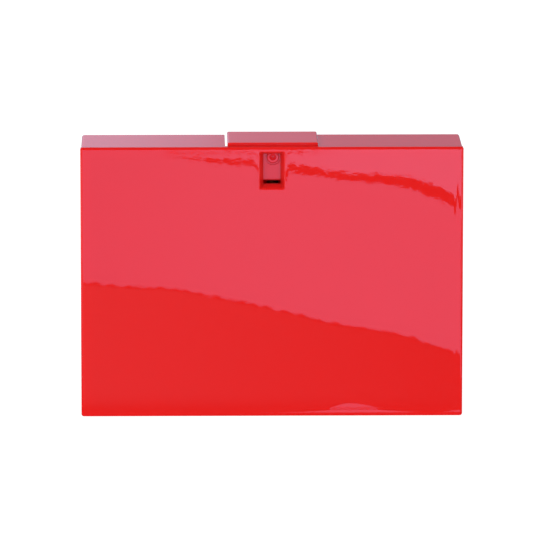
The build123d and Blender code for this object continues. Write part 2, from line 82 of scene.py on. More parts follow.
class Graph:
    """A node tree under construction: adds nodes and wires with short calls."""

    def __init__(self, tree: bpy.types.NodeTree) -> None:
        """Wrap a node tree.

        Args:
            tree: The material's, world's or group's tree.
        """
        self.tree = tree

    def node(self, kind: str, **settings: object) -> bpy.types.Node:
        """Add a node and set its properties.

        Args:
            kind: The node's Blender type name.
            **settings: Attributes to set on the node.

        Returns:
            The new node.
        """
        made = self.tree.nodes.new(kind)
        for name, value in settings.items():
            setattr(made, name, value)
        return made

    def wire(self, source: bpy.types.NodeSocket, target: bpy.types.NodeSocket) -> None:
        """Join an output to an input."""
        self.tree.links.new(source, target)

    def feed(self, value: object, target: bpy.types.NodeSocket) -> None:
        """Wire a socket, or set a plain value, on an input.

        Args:
            value: The socket or the value.
            target: The input.
        """
        if isinstance(value, bpy.types.NodeSocket):
            self.wire(value, target)
        else:
            target.default_value = value

    def maths(self, operation: str, *values: object, clamp: bool = False) -> bpy.types.NodeSocket:
        """Add a Math node.

        Args:
            operation: The node's operation.
            *values: Sockets or numbers for its inputs, in order.
            clamp: Whether the result is kept between 0 and 1.

        Returns:
            The node's output.
        """
        made = self.node("ShaderNodeMath", operation=operation, use_clamp=clamp)
        for slot, value in zip(made.inputs, values):
            self.feed(value, slot)
        return made.outputs[0]

    def spread(self, value: object, low: object, high: object) -> bpy.types.NodeSocket:
        """Map 0..1 onto low..high.

        Args:
            value: The socket to map.
            low: What 0 becomes.
            high: What 1 becomes.

        Returns:
            The mapped output.
        """
        made = self.node("ShaderNodeMapRange")
        self.feed(value, made.inputs["Value"])
        self.feed(low, made.inputs["To Min"])
        self.feed(high, made.inputs["To Max"])
        return made.outputs["Result"]

    def place(self) -> bpy.types.NodeSocket:
        """Return the place on the object, in its own axes."""
        return self.node("ShaderNodeTexCoord").outputs["Object"]

    def axes(self, place: bpy.types.NodeSocket) -> bpy.types.bpy_prop_collection:
        """Split a place into its three coordinates.

        Args:
            place: The place.

        Returns:
            The outputs X, Y and Z.
        """
        made = self.node("ShaderNodeSeparateXYZ")
        self.wire(place, made.inputs[0])
        return made.outputs

    def noise(self, place: object, scale: object, detail: float, rough: float = 0.5) -> bpy.types.NodeSocket:
        """Add a noise texture.

        Args:
            place: The coordinates.
            scale: Cells per metre.
            detail: Octaves.
            rough: How strong each next octave is.

        Returns:
            The noise, from 0 to 1.
        """
        made = self.node("ShaderNodeTexNoise")
        self.feed(place, made.inputs["Vector"])
        self.feed(scale, made.inputs["Scale"])
        made.inputs["Detail"].default_value = detail
        made.inputs["Roughness"].default_value = rough
        return made.outputs["Fac"]


def shader_group(
    name: str, takes: Sequence[tuple[str, str, object]], gives: Sequence[tuple[str, str]]
) -> Graph:
    """Start a shader node group with named sockets.

    Args:
        name: The group's name.
        takes: Name, socket type and default of each input.
        gives: Name and socket type of each output.

    Returns:
        The graph, whose tree has an input node "in" and an output node "out".
    """
    tree = bpy.data.node_groups.new(name, "ShaderNodeTree")
    for label, kind, default in takes:
        tree.interface.new_socket(label, in_out="INPUT", socket_type=kind).default_value = default
    for label, kind in gives:
        tree.interface.new_socket(label, in_out="OUTPUT", socket_type=kind)
    graph = Graph(tree)
    graph.node("NodeGroupInput", name="in")
    graph.node("NodeGroupOutput", name="out")
    return graph


NUMBER = "NodeSocketFloat"
TINT = "NodeSocketColor"
TONE_SCALE = 55.0
HAZE_SCALE = 120.0


def moulded_skin() -> bpy.types.NodeTree:
    """Build the group for injection-moulded plastic.

    It gives a faintly uneven colour, a gloss with barely visible haze, and the height of a long moulding
    ripple with a fine orange peel over it.

    Returns:
        The node group.
    """
    graph = shader_group(
        "moulded_skin",
        [
            ("Colour", TINT, (0.8, 0.8, 0.8, 1.0)),
            ("Tone Spread", NUMBER, 0.02),
            ("Ripple Scale", NUMBER, 40.0),
            ("Ripple Height", NUMBER, 0.0),
            ("Peel Scale", NUMBER, 500.0),
            ("Peel Height", NUMBER, 0.0),
            ("Gloss Low", NUMBER, 0.05),
            ("Gloss High", NUMBER, 0.08),
        ],
        [("Colour", TINT), ("Roughness", NUMBER), ("Height", NUMBER)],
    )
    given = graph.tree.nodes["in"].outputs
    out = graph.tree.nodes["out"].inputs
    place = graph.place()
    # Tone: slow variation of the value
    tone = graph.noise(place, TONE_SCALE, 3.0)
    shade = graph.node("ShaderNodeHueSaturation")
    low = graph.maths("SUBTRACT", 1.0, given["Tone Spread"])
    high = graph.maths("ADD", 1.0, given["Tone Spread"])
    graph.wire(graph.spread(tone, low, high), shade.inputs["Value"])
    graph.wire(given["Colour"], shade.inputs["Color"])
    graph.wire(shade.outputs["Color"], out["Colour"])
    # Gloss: haze in soft patches
    haze = graph.noise(place, HAZE_SCALE, 4.0, 0.6)
    graph.wire(graph.spread(haze, given["Gloss Low"], given["Gloss High"]), out["Roughness"])
    # Height: ripple and peel, in metres
    ripple = graph.maths("MULTIPLY", graph.noise(place, given["Ripple Scale"], 1.0), given["Ripple Height"])
    peel = graph.maths("MULTIPLY", graph.noise(place, given["Peel Scale"], 1.5), given["Peel Height"])
    graph.wire(graph.maths("ADD", ripple, peel), out["Height"])
    return graph.tree


def rolled_rim() -> bpy.types.NodeTree:
    """Build the group for the faint roll of a flat moulded face at its upright edges, with a sink beside it.

    Returns:
        The node group, which gives a height in metres.
    """
    graph = shader_group(
        "rolled_rim",
        [
            ("Half Width", NUMBER, 0.05),
            ("Roll Width", NUMBER, 0.004),
            ("Roll Height", NUMBER, 0.0),
            ("Sink Width", NUMBER, 0.001),
            ("Sink Depth", NUMBER, 0.0),
        ],
        [("Height", NUMBER)],
    )
    given = graph.tree.nodes["in"].outputs
    parts = graph.axes(graph.place())
    across = graph.maths("SUBTRACT", given["Half Width"], graph.maths("ABSOLUTE", parts["X"]))
    near = graph.maths("SUBTRACT", 1.0, graph.maths("DIVIDE", across, given["Roll Width"]), clamp=True)
    drop = graph.maths("MULTIPLY", graph.maths("POWER", near, 3.0), given["Roll Height"])
    # A narrow sink runs beside the roll
    inside = graph.maths("SUBTRACT", across, given["Roll Width"])
    way = graph.maths("DIVIDE", inside, given["Sink Width"], clamp=True)
    wave = graph.maths("POWER", graph.maths("SINE", graph.maths("MULTIPLY", way, math.pi)), 2.0)
    drop = graph.maths("ADD", drop, graph.maths("MULTIPLY", wave, given["Sink Depth"]))
    graph.wire(graph.maths("MULTIPLY", drop, -1.0), graph.tree.nodes["out"].inputs["Height"])
    return graph.tree


def window_sink() -> bpy.types.NodeTree:
    """Build the group for the shallow sink that a moulded face shows round a window.

    Returns:
        The node group, which gives a height in metres.
    """
    graph = shader_group(
        "window_sink",
        [
            ("Middle Z", NUMBER, 0.07),
            ("Half X", NUMBER, 0.004),
            ("Half Z", NUMBER, 0.005),
            ("Reach", NUMBER, 0.004),
            ("Depth", NUMBER, 0.0),
            ("Tilt", NUMBER, 0.0),
        ],
        [("Height", NUMBER)],
    )
    given = graph.tree.nodes["in"].outputs
    parts = graph.axes(graph.place())
    above = graph.maths("SUBTRACT", parts["Z"], given["Middle Z"])
    across = graph.maths("SUBTRACT", graph.maths("ABSOLUTE", parts["X"]), given["Half X"])
    along = graph.maths("SUBTRACT", graph.maths("ABSOLUTE", above), given["Half Z"])
    across = graph.maths("POWER", graph.maths("MAXIMUM", across, 0.0), 2.0)
    along = graph.maths("POWER", graph.maths("MAXIMUM", along, 0.0), 2.0)
    gap = graph.maths("SQRT", graph.maths("ADD", across, along))
    near = graph.maths("SUBTRACT", 1.0, graph.maths("DIVIDE", gap, given["Reach"]), clamp=True)
    # Down in the middle of the reach and back up at the window's rim
    wave = graph.maths("SINE", graph.maths("MULTIPLY", near, math.pi))
    sink = graph.maths("MULTIPLY", graph.maths("POWER", wave, 2.0), given["Depth"])
    # The rim also leans back a little towards its top
    lean = graph.maths("MULTIPLY", above, given["Tilt"])
    lean = graph.maths("MULTIPLY", lean, graph.maths("POWER", near, 2.0))
    sink = graph.maths("ADD", sink, lean)
    graph.wire(graph.maths("MULTIPLY", sink, -1.0), graph.tree.nodes["out"].inputs["Height"])
    return graph.tree


def fine_lines() -> bpy.types.NodeTree:
    """Build the group for drawn, turned or brushed lines, stretched along one direction.

    Returns:
        The node group, which gives a mask and a height in metres.
    """
    graph = shader_group(
        "fine_lines",
        [
            ("Along X", NUMBER, 1.0),
            ("Along Y", NUMBER, 1.0),
            ("Along Z", NUMBER, 1.0),
            ("Depth", NUMBER, 0.0),
        ],
        [("Mask", NUMBER), ("Height", NUMBER)],
    )
    given = graph.tree.nodes["in"].outputs
    out = graph.tree.nodes["out"].inputs
    scale = graph.node("ShaderNodeCombineXYZ")
    for axis in "XYZ":
        graph.wire(given[f"Along {axis}"], scale.inputs[axis])
    stretched = graph.node("ShaderNodeVectorMath", operation="MULTIPLY")
    graph.wire(graph.place(), stretched.inputs[0])
    graph.wire(scale.outputs[0], stretched.inputs[1])
    lines = graph.noise(stretched.outputs[0], 1.0, 3.0, 0.6)
    graph.wire(lines, out["Mask"])
    graph.wire(graph.maths("MULTIPLY", lines, given["Depth"]), out["Height"])
    return graph.tree


class Groups:
    """The shared node groups, each built once and looked up by name."""

    makers: dict[str, Callable[[], bpy.types.NodeTree]] = {
        "moulded_skin": moulded_skin,
        "rolled_rim": rolled_rim,
        "window_sink": window_sink,
        "fine_lines": fine_lines,
    }

    @classmethod
    def place(cls, graph: Graph, name: str, *first: object, **values: object) -> bpy.types.Node:
        """Add a group node to a material.

        Args:
            graph: The material's graph.
            name: The group's name.
            *first: Values for the group's first inputs, in their order.
            **values: Values by input, with underscores for the spaces in its name.

        Returns:
            The group node.
        """
        tree = bpy.data.node_groups.get(name) or cls.makers[name]()
        made = graph.node("ShaderNodeGroup", node_tree=tree)
        for slot, value in zip(made.inputs, first):
            graph.feed(value, slot)
        for label, value in values.items():
            graph.feed(value, made.inputs[label.replace("_", " ")])
        return made


# ---------------------------------------------------------------------------------------------------------
# Finishes
# ---------------------------------------------------------------------------------------------------------


@dataclass(frozen=True)
class Finish:
    """A surface finish that can dress any number of pieces."""

    name: str

    def start(self) -> tuple[bpy.types.Material, Graph, bpy.types.Node]:
        """Begin a material with its Principled shader.

        Returns:
            The material, its graph and the shader node.
        """
        made = bpy.data.materials.new(f"{self.name}_finish")
        made.use_nodes = True
        graph = Graph(made.node_tree)
        return made, graph, made.node_tree.nodes["Principled BSDF"]

    def skin(self, graph: Graph, shader: bpy.types.Node, **values: object) -> bpy.types.NodeSocket:
        """Give the shader the colour and the gloss of moulded_skin.

        Args:
            graph: The material's graph.
            shader: The Principled shader.
            **values: The group's values, by input.

        Returns:
            The skin's height, in metres.
        """
        skin = Groups.place(graph, "moulded_skin", **values)
        graph.wire(skin.outputs["Colour"], shader.inputs["Base Color"])
        graph.wire(skin.outputs["Roughness"], shader.inputs["Roughness"])
        return skin.outputs["Height"]

    def bump(self, graph: Graph, shader: bpy.types.Node, height: bpy.types.NodeSocket) -> None:
        """Turn a height into the shader's normal.

        Args:
            graph: The material's graph.
            shader: The Principled shader.
            height: The height, in metres.
        """
        made = graph.node("ShaderNodeBump")
        made.inputs["Strength"].default_value = 1.0
        made.inputs["Distance"].default_value = 1.0
        graph.wire(height, made.inputs["Height"])
        graph.wire(made.outputs["Normal"], shader.inputs["Normal"])

    def material(self) -> bpy.types.Material:
        """Build the material."""
        raise NotImplementedError

    def dress(self, *pieces: bpy.types.Object) -> None:
        """Give the finish to pieces, in place of what their slots hold.

        Args:
            *pieces: The pieces.
        """
        made = bpy.data.materials.get(f"{self.name}_finish") or self.material()
        for piece in pieces:
            if not piece.material_slots:
                piece.data.materials.append(made)
            for slot in piece.material_slots:
                slot.material = made


@dataclass(frozen=True)
class Moulding(Finish):
    """Solid-coloured injection-moulded plastic.

    A rim and a window are the values of rolled_rim and window_sink, in the order of the groups' inputs.
    """

    colour: Colour = rgb(0.8, 0.02, 0.02)
    gloss: tuple[float, float] = (0.03, 0.05)
    tone: float = 0.015
    ripple_scale: float = 45.0
    ripple_height: float = 0.0
    peel_scale: float = 520.0
    peel_height: float = 0.0
    rim: tuple[float, float, float, float, float] | None = None
    window: tuple[float, float, float, float, float, float] | None = None
    glow: float = 0.0
    glow_reach: Point = (0.0006, 0.0003, 0.0002)

    def material(self) -> bpy.types.Material:
        """Build the plastic.

        Returns:
            The material.
        """
        made, graph, shader = self.start()
        height = self.skin(
            graph,
            shader,
            Colour=self.colour,
            Tone_Spread=self.tone,
            Ripple_Scale=self.ripple_scale,
            Ripple_Height=self.ripple_height,
            Peel_Scale=self.peel_scale,
            Peel_Height=self.peel_height,
            Gloss_Low=self.gloss[0],
            Gloss_High=self.gloss[1],
        )
        for group, values in (("rolled_rim", self.rim), ("window_sink", self.window)):
            if values:
                shaped = Groups.place(graph, group, *values)
                height = graph.maths("ADD", height, shaped.outputs["Height"])
        self.bump(graph, shader, height)
        shader.inputs["IOR"].default_value = 1.5
        shader.inputs["Subsurface Weight"].default_value = self.glow
        shader.inputs["Subsurface Radius"].default_value = self.glow_reach
        shader.inputs["Subsurface Scale"].default_value = 1.0
        return made


@dataclass(frozen=True)
class Metal(Finish):
    """Turned, rolled or drawn bare metal."""

    colour: Colour = rgb(0.8, 0.8, 0.8)
    gloss: tuple[float, float] = (0.18, 0.3)
    tone: tuple[float, float] = (0.9, 1.08)
    lines: Point = (300.0, 300.0, 9000.0)
    depth: float = 2e-7

    def material(self) -> bpy.types.Material:
        """Build the metal.

        Returns:
            The material.
        """
        made, graph, shader = self.start()
        lines = Groups.place(graph, "fine_lines", *self.lines, self.depth)
        shade = graph.node("ShaderNodeHueSaturation")
        shade.inputs["Color"].default_value = self.colour
        graph.wire(graph.spread(lines.outputs["Mask"], *self.tone), shade.inputs["Value"])
        graph.wire(shade.outputs["Color"], shader.inputs["Base Color"])
        graph.wire(graph.spread(lines.outputs["Mask"], *self.gloss), shader.inputs["Roughness"])
        shader.inputs["Metallic"].default_value = 1.0
        self.bump(graph, shader, lines.outputs["Height"])
        return made


@dataclass(frozen=True)
class Clear(Finish):
    """Glass, clear plastic or liquid that light passes through."""

    colour: Colour = rgb(0.95, 0.97, 0.97)
    index: float = 1.5
    gloss: tuple[float, float] = (0.0, 0.02)
    tone: float = 0.01
    wave_scale: float = 90.0
    wave_height: float = 4e-6

    def material(self) -> bpy.types.Material:
        """Build the clear body.

        Returns:
            The material.
        """
        made, graph, shader = self.start()
        height = self.skin(
            graph,
            shader,
            Colour=self.colour,
            Tone_Spread=self.tone,
            Ripple_Scale=self.wave_scale,
            Ripple_Height=self.wave_height,
            Gloss_Low=self.gloss[0],
            Gloss_High=self.gloss[1],
        )
        self.bump(graph, shader, height)
        shader.inputs["IOR"].default_value = self.index
        shader.inputs["Transmission Weight"].default_value = 1.0
        return made


@dataclass(frozen=True)
class Felt(Finish):
    """Pressed felt: short tangled fibres, lighter where they stand up."""

    colour: Colour = rgb(0.05, 0.05, 0.055)
    fibre: Colour = rgb(0.16, 0.16, 0.18)
    tangle_scale: float = 1800.0
    patch_scale: float = 160.0
    nap: float = 1.5e-4
    sheen: float = 0.5

    def material(self) -> bpy.types.Material:
        """Build the felt.

        Returns:
            The material.
        """
        made, graph, shader = self.start()
        place = graph.place()
        tangle = graph.noise(place, self.tangle_scale, 5.0, 0.7)
        patch = graph.spread(graph.noise(place, self.patch_scale, 3.0), 0.6, 1.3)
        blend = graph.node("ShaderNodeMix", data_type="RGBA")
        graph.wire(graph.maths("MULTIPLY", tangle, patch, clamp=True), blend.inputs["Factor"])
        # Inputs 6 and 7 and output 2 are the Mix node's colour sockets
        blend.inputs[6].default_value = self.colour
        blend.inputs[7].default_value = self.fibre
        graph.wire(blend.outputs[2], shader.inputs["Base Color"])
        graph.wire(graph.spread(tangle, 0.85, 1.0), shader.inputs["Roughness"])
        shader.inputs["Sheen Weight"].default_value = self.sheen
        self.bump(graph, shader, graph.maths("MULTIPLY", tangle, self.nap))
        return made


# ---------------------------------------------------------------------------------------------------------
# Mesh helpers
# ---------------------------------------------------------------------------------------------------------


def mesh_piece(name: str, shape: bmesh.types.BMesh) -> bpy.types.Object:
    """Turn a bmesh into a smooth-shaded piece in the scene.

    Args:
        name: The piece's name.
        shape: The finished bmesh, which is freed.

    Returns:
        The new object.
    """
    bmesh.ops.recalc_face_normals(shape, faces=shape.faces)
    data = bpy.data.meshes.new(name)
    shape.to_mesh(data)
    shape.free()
    for face in data.polygons:
        face.use_smooth = True
    piece = bpy.data.objects.new(name, data)
    bpy.context.scene.collection.objects.link(piece)
    return piece


def lathe(
    name: str, profile: Sequence[tuple[float, float]], centre: Vector, along: Vector, steps: int = 96
) -> bpy.types.Object:
    """Turn a closed outline round an axis.

    Args:
        name: The piece's name.
        profile: Radius and distance along the axis of each corner, in metres, round the outline.
        centre: Where the axis starts.
        along: The axis's direction.
        steps: How many flats make the round.

    Returns:
        The turned piece.
    """
    first = along.orthogonal().normalized()
    second = along.cross(first)
    shape = bmesh.new()
    rings = []
    for radius, distance in profile:
        ring = []
        for step in range(steps):
            angle = math.tau * step / steps
            out = first * math.cos(angle) + second * math.sin(angle)
            ring.append(shape.verts.new(centre + along * distance + out * radius))
        rings.append(ring)
    for ring, following in zip(rings, [*rings[1:], rings[0]]):
        for step in range(steps):
            after = (step + 1) % steps
            shape.faces.new((ring[step], ring[after], following[after], following[step]))
    return mesh_piece(name, shape)


def crease(piece: bpy.types.Object, degrees: float) -> None:
    """Keep the edges that are sharper than an angle sharp in the shading.

    Args:
        piece: The piece to shade.
        degrees: The angle between faces above which an edge shows.
    """
    shape = bmesh.new()
    shape.from_mesh(piece.data)
    limit = math.radians(degrees)
    for edge in shape.edges:
        edge.smooth = edge.is_manifold and edge.calc_face_angle(0.0) < limit
    shape.to_mesh(piece.data)
    shape.free()


def islands(node: str) -> list[tuple[Vector, Vector]]:
    """Find the box of each separate solid in a frame node.

    Args:
        node: The node's name.

    Returns:
        The lowest and highest corner of each solid, in a fixed order.
    """
    shape = bmesh.new()
    shape.from_mesh(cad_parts[node].data)
    bmesh.ops.remove_doubles(shape, verts=shape.verts, dist=1e-6)
    left, boxes = set(shape.verts), []
    while left:
        queue, group = [left.pop()], []
        while queue:
            corner = queue.pop()
            group.append(corner.co.copy())
            for edge in corner.link_edges:
                other = edge.other_vert(corner)
                if other in left:
                    left.remove(other)
                    queue.append(other)
        low = Vector(min(p[axis] for p in group) for axis in range(3))
        high = Vector(max(p[axis] for p in group) for axis in range(3))
        boxes.append((low, high))
    shape.free()
    return sorted(boxes, key=lambda box: tuple(round(v, 5) for v in box[0]))


# ---------------------------------------------------------------------------------------------------------
# Sub-assemblies
# ---------------------------------------------------------------------------------------------------------


@dataclass
class Case:
    """The two glossy shells."""

    panel: str = "front_panel"
    shell: str = "rear_shell"
    roll_width: float = 1.3 * MM
    roll_height: float = 0.002 * MM
    rim_sink_width: float = 1.6 * MM
    rim_sink: float = 0.0058 * MM
    window_drop: float = 7.0 * MM
    window_half: tuple[float, float] = (3.9 * MM, 5.7 * MM)
    sink_reach: float = 1.9 * MM
    sink_depth: float = 0.002 * MM
    sink_tilt: float = 0.003
    colour: Colour = rgb(0.80, 0.0148, 0.0142)
    through: float = 0.3
    through_reach: Point = (0.004, 0.0004, 0.0003)

    def finish(self, name: str) -> Moulding:
        """Make the case's plastic.

        Args:
            name: The finish's name.

        Returns:
            The finish.
        """
        return Moulding(
            name,
            colour=self.colour,
            gloss=(0.006, 0.02),
            ripple_scale=30.0,
            ripple_height=6e-6,
            peel_scale=800.0,
            peel_height=2.0e-6,
            glow=self.through,
            glow_reach=self.through_reach,
        )

    def build(self) -> None:
        """Dress the shells, whose shapes come from the frame."""
        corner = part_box(self.panel)[1]
        rim = (corner.x, self.roll_width, self.roll_height, self.rim_sink_width, self.rim_sink)
        middle = corner.z - self.window_drop
        window = (middle, *self.window_half, self.sink_reach, self.sink_depth, self.sink_tilt)
        front = replace(self.finish("case_gloss_front"), rim=rim, window=window)
        front.dress(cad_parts[self.panel])
        self.finish("case_gloss_rear").dress(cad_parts[self.shell])
        log.info("case: %s and %s", self.panel, self.shell)


@dataclass
class SprayInsert:
    """The nozzle insert: a flat ring round a dished eye, in whose flat middle the orifice opens."""

    node: str = "nozzle_insert"
    # Lighter and pinker than the case's red: partly the insert's own red, partly a painted highlight for the
    # ring's pale sheen
    colour: Colour = rgb(0.84, 0.024, 0.036)
    chamfer: float = 0.34 * MM
    chamfer_steps: int = 8
    eye: float = 1.05 * MM
    eye_depth: float = 0.6 * MM
    eye_flat: float = 0.36
    orifice: float = 0.15 * MM
    orifice_flare: float = 1.25
    floor: float = 0.8 * MM
    bore: float = 1.2 * MM

    def profile(self, outer: float, length: float) -> list[tuple[float, float]]:
        """Work out the insert's outline, from the orifice outwards and back inside.

        Args:
            outer: The insert's radius.
            length: Its length.

        Returns:
            Radius and depth of each corner.
        """
        flat = self.eye_flat * self.eye
        outline = [
            (self.orifice, self.floor),
            (self.orifice, self.eye_depth + 0.04 * MM),
            (self.orifice_flare * self.orifice, self.eye_depth),
            (flat, self.eye_depth),
            # The eye's wall: out of its flat, up, and over into the ring
            (flat + 0.05 * MM, self.eye_depth - 0.02 * MM),
            (self.eye - 0.12 * MM, 0.26 * MM),
            (self.eye - 0.03 * MM, 0.08 * MM),
            (self.eye, 0.0),
            (outer - self.chamfer, 0.0),
        ]
        # The rim rolls over in a quarter round
        for step in range(1, self.chamfer_steps + 1):
            angle = math.pi / 2 * step / self.chamfer_steps
            inward = self.chamfer * (1.0 - math.sin(angle))
            outline.append((outer - inward, self.chamfer * (1.0 - math.cos(angle))))
        return [*outline, (outer, length), (self.bore, length), (self.bore, self.floor)]

    def build(self) -> bpy.types.Object:
        """Turn the insert in the place of its solid.

        Returns:
            The insert.
        """
        low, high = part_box(self.node)
        axis = Vector(((low.x + high.x) / 2, low.y, (low.z + high.z) / 2))
        outline = self.profile((high.x - low.x) / 2, high.y - low.y)
        insert = lathe("nozzle_insert_turned", outline, axis, Vector((0, 1, 0)))
        crease(insert, 40.0)
        Moulding(
            "insert_gloss", colour=self.colour, gloss=(0.04, 0.08), peel_scale=900.0, peel_height=4e-7
        ).dress(insert)
        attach(insert, "button")
        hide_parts(self.node)
        log.info("push button: %s", insert.name)
        return insert


@dataclass
class PushButton:
    """The button cap with the spray head that it carries."""

    # The cap is the case's red plastic painted lighter: painted light for its front face, which sits back
    # behind the panel and gets less light
    lightened_cap_colour: Colour = rgb(0.86, 0.0155, 0.015)
    head_colour: Colour = rgb(0.74, 0.022, 0.03)
    insert: SprayInsert = field(default_factory=SprayInsert)

    def build(self) -> None:
        """Dress the cap and the head, and make the insert."""
        Moulding(
            "button_gloss",
            colour=self.lightened_cap_colour,
            gloss=(0.05, 0.09),
            ripple_scale=60.0,
            ripple_height=8e-6,
            peel_scale=420.0,
            peel_height=6e-7,
        ).dress(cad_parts["button_cap"])
        Moulding(
            "head_gloss", colour=self.head_colour, gloss=(0.1, 0.16), peel_scale=700.0, peel_height=5e-7
        ).dress(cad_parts["spray_head"])
        log.info("push button: button_cap and spray_head")
        self.insert.build()


@dataclass
class ReturnSpring:
    """The pump's spring: an open coil with closed, ground ends."""

    node: str = "return_spring"
    joint: str = "button_press"
    wire: float = 0.5 * MM
    turns: float = 4.5
    closed: float = 0.75
    closed_rise: float = 0.08
    ground: float = 0.02 * MM
    steps_per_turn: int = 40
    sides: int = 12

    def centre_line(self, low: Vector, high: Vector) -> list[Vector]:
        """Work out the wire's centre line.

        Args:
            low: The spring's lowest corner.
            high: The spring's highest corner.

        Returns:
            Points along the wire, from the lower end to the upper.
        """
        middle = (low + high) / 2
        radius = (high.x - low.x - self.wire) / 2
        bottom, top = low.z + self.wire / 2, high.z - self.wire / 2
        count = round(self.turns * self.steps_per_turn)
        line = []
        for step in range(count + 1):
            turn = self.turns * step / count
            # The end turns lie almost flat, and the rest rises evenly between them
            rise = min(max((turn - self.closed) / (self.turns - 2 * self.closed), 0.0), 1.0)
            eased = (1.0 - self.closed_rise) * rise + self.closed_rise * turn / self.turns
            angle = math.tau * turn
            x, y = middle.x + radius * math.cos(angle), middle.y + radius * math.sin(angle)
            line.append(Vector((x, y, bottom + (top - bottom) * eased)))
        return line

    def build(self) -> bpy.types.Object:
        """Sweep the round wire along the coil and cap its ends.

        Returns:
            The spring.
        """
        low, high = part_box(self.node)
        line = self.centre_line(low, high)
        axis = (low + high) / 2
        shape = bmesh.new()
        rings = []
        for point in line:
            out = Vector((point.x - axis.x, point.y - axis.y, 0)).normalized()
            ring = []
            for side in range(self.sides):
                angle = math.tau * side / self.sides
                offset = out * math.cos(angle) + Vector((0, 0, 1)) * math.sin(angle)
                spot = point + offset * self.wire / 2
                spot.z = min(max(spot.z, low.z + self.ground), high.z - self.ground)
                ring.append(shape.verts.new(spot))
            rings.append(ring)
        for ring, following in zip(rings, rings[1:]):
            for side in range(self.sides):
                after = (side + 1) % self.sides
                shape.faces.new((ring[side], ring[after], following[after], following[side]))
        shape.faces.new(rings[0])
        shape.faces.new(rings[-1])
        spring = mesh_piece("return_spring_coil", shape)
        lines = (2500.0, 2500.0, 2500.0)
        steel = Metal("spring_steel", colour=rgb(0.62, 0.63, 0.66), gloss=(0.16, 0.28), lines=lines)
        steel.dress(spring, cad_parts["inlet_ball"])
        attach(spring, "case")
        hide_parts(self.node)
        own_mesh(spring)
        return spring


@dataclass
class Cushions:
    """The felt pads between the flacon and the case: soft-edged and slightly pillowed."""

    nodes: tuple[str, ...] = ("face_pads", "base_pads", "side_pads", "shoulder_pads")
    cell: float = 1.0 * MM
    edge: float = 0.35 * MM
    fuzz: float = 0.04 * MM
    lump_scale: float = 450.0
    fill: float = 0.9

    def pad(self, shape: bmesh.types.BMesh, low: Vector, high: Vector, seed: int) -> None:
        """Add one pad as a fine box whose edges are rounded and whose faces are a little uneven.

        Args:
            shape: The bmesh to add to.
            low: The pad's lowest corner.
            high: The pad's highest corner.
            seed: Which part of the noise its unevenness comes from.
        """
        size = high - low
        middle = (low + high) / 2
        counts = [max(2, round(size[axis] / self.cell)) for axis in range(3)]
        corners: dict[tuple[int, int, int], bmesh.types.BMVert] = {}

        def corner(index: tuple[int, int, int]) -> bmesh.types.BMVert:
            """Find or add a corner of the grid, rounded and roughened.

            Args:
                index: Its place in the grid along each axis.

            Returns:
                The corner.
            """
            if index not in corners:
                spot = Vector(low[axis] + size[axis] * index[axis] / counts[axis] for axis in range(3))
                core = Vector(
                    min(max(spot[axis], low[axis] + self.edge), high[axis] - self.edge) for axis in range(3)
                )
                away = spot - core
                if away.length > 1e-9:
                    spot = core + away.normalized() * min(self.edge, away.length)
                lump = noise.noise((spot + Vector((seed, 0, 0))) * self.lump_scale)
                inward = (middle - spot).normalized()
                corners[index] = shape.verts.new(spot + inward * self.fuzz * (0.5 + 0.5 * lump))
            return corners[index]

        for axis in range(3):
            first, second = [other for other in range(3) if other != axis]
            for end in (0, counts[axis]):
                for i in range(counts[first]):
                    for j in range(counts[second]):
                        ring = []
                        for di, dj in ((0, 0), (1, 0), (1, 1), (0, 1)):
                            index = [0, 0, 0]
                            index[axis], index[first], index[second] = end, i + di, j + dj
                            ring.append(corner(tuple(index)))
                        shape.faces.new(ring)

    def build(self) -> list[bpy.types.Object]:
        """Make a piece for each group of pads.

        Returns:
            The pads.
        """
        finish = Felt("cushion_felt")
        made = []
        for node in self.nodes:
            shape = bmesh.new()
            for seed, (low, high) in enumerate(islands(node)):
                self.pad(shape, low, high, seed)
            piece = mesh_piece(f"{node}_felt", shape)
            finish.dress(piece)
            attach(piece, "case")
            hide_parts(node)
            made.append(piece)
            log.info("cushions: %s", piece.name)
        return made


@dataclass
class Pump:
    """The crimped spray pump on the flacon's neck."""

    white: tuple[str, ...] = ("turret", "pump_housing", "piston")
    # The stem's red-brown is painted light: it stands in for the red light and shade inside the case, where
    # the stem shows through the slot
    slot_reddened: tuple[str, ...] = ("pump_stem",)
    soft: tuple[str, ...] = ("stem_seal", "neck_gasket")
    crimped: tuple[str, ...] = ("ferrule",)
    clear: tuple[str, ...] = ("dip_tube",)

    def build(self) -> None:
        """Dress the pump's pieces."""
        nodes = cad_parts
        dull = Moulding("pump_plastic", gloss=(0.3, 0.45), tone=0.03, peel_height=2e-6)
        rubber = Moulding("seal_rubber", gloss=(0.55, 0.8), tone=0.15, peel_height=6e-6)
        tube = Clear("tube_plastic", index=1.49, gloss=(0.15, 0.3))
        for finish, pieces in (
            (replace(dull, colour=rgb(0.84, 0.84, 0.82), glow=0.15), self.white),
            # Painted light: the stem's red-brown stands in for the red light and shade in the slot
            (replace(dull, name="stem_plastic", colour=rgb(0.62, 0.1, 0.05), glow=0.3), self.slot_reddened),
            (replace(rubber, colour=rgb(0.03, 0.03, 0.033)), self.soft),
            (Metal("ferrule_metal", colour=rgb(0.86, 0.86, 0.87), gloss=(0.14, 0.26)), self.crimped),
            (replace(tube, colour=rgb(0.9, 0.93, 0.94)), self.clear),
        ):
            finish.dress(*[nodes[name] for name in pieces])
            log.info("pump: %s", ", ".join(pieces))


@dataclass
class Flacon:
    """The glass flacon and the fragrance in it."""

    glass: Colour = rgb(0.93, 0.96, 0.955)
    liquid: Colour = rgb(0.98, 0.78, 0.62)

    def build(self) -> None:
        """Dress the glass and the liquid."""
        Clear("flacon_glass", colour=self.glass, index=1.52).dress(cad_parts["flacon"])
        Clear("fragrance_liquid", colour=self.liquid, index=1.36, wave_height=0.0).dress(
            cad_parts["fragrance"]
        )
        log.info("flacon: flacon and fragrance")


# ---------------------------------------------------------------------------------------------------------
# Studio
# ---------------------------------------------------------------------------------------------------------


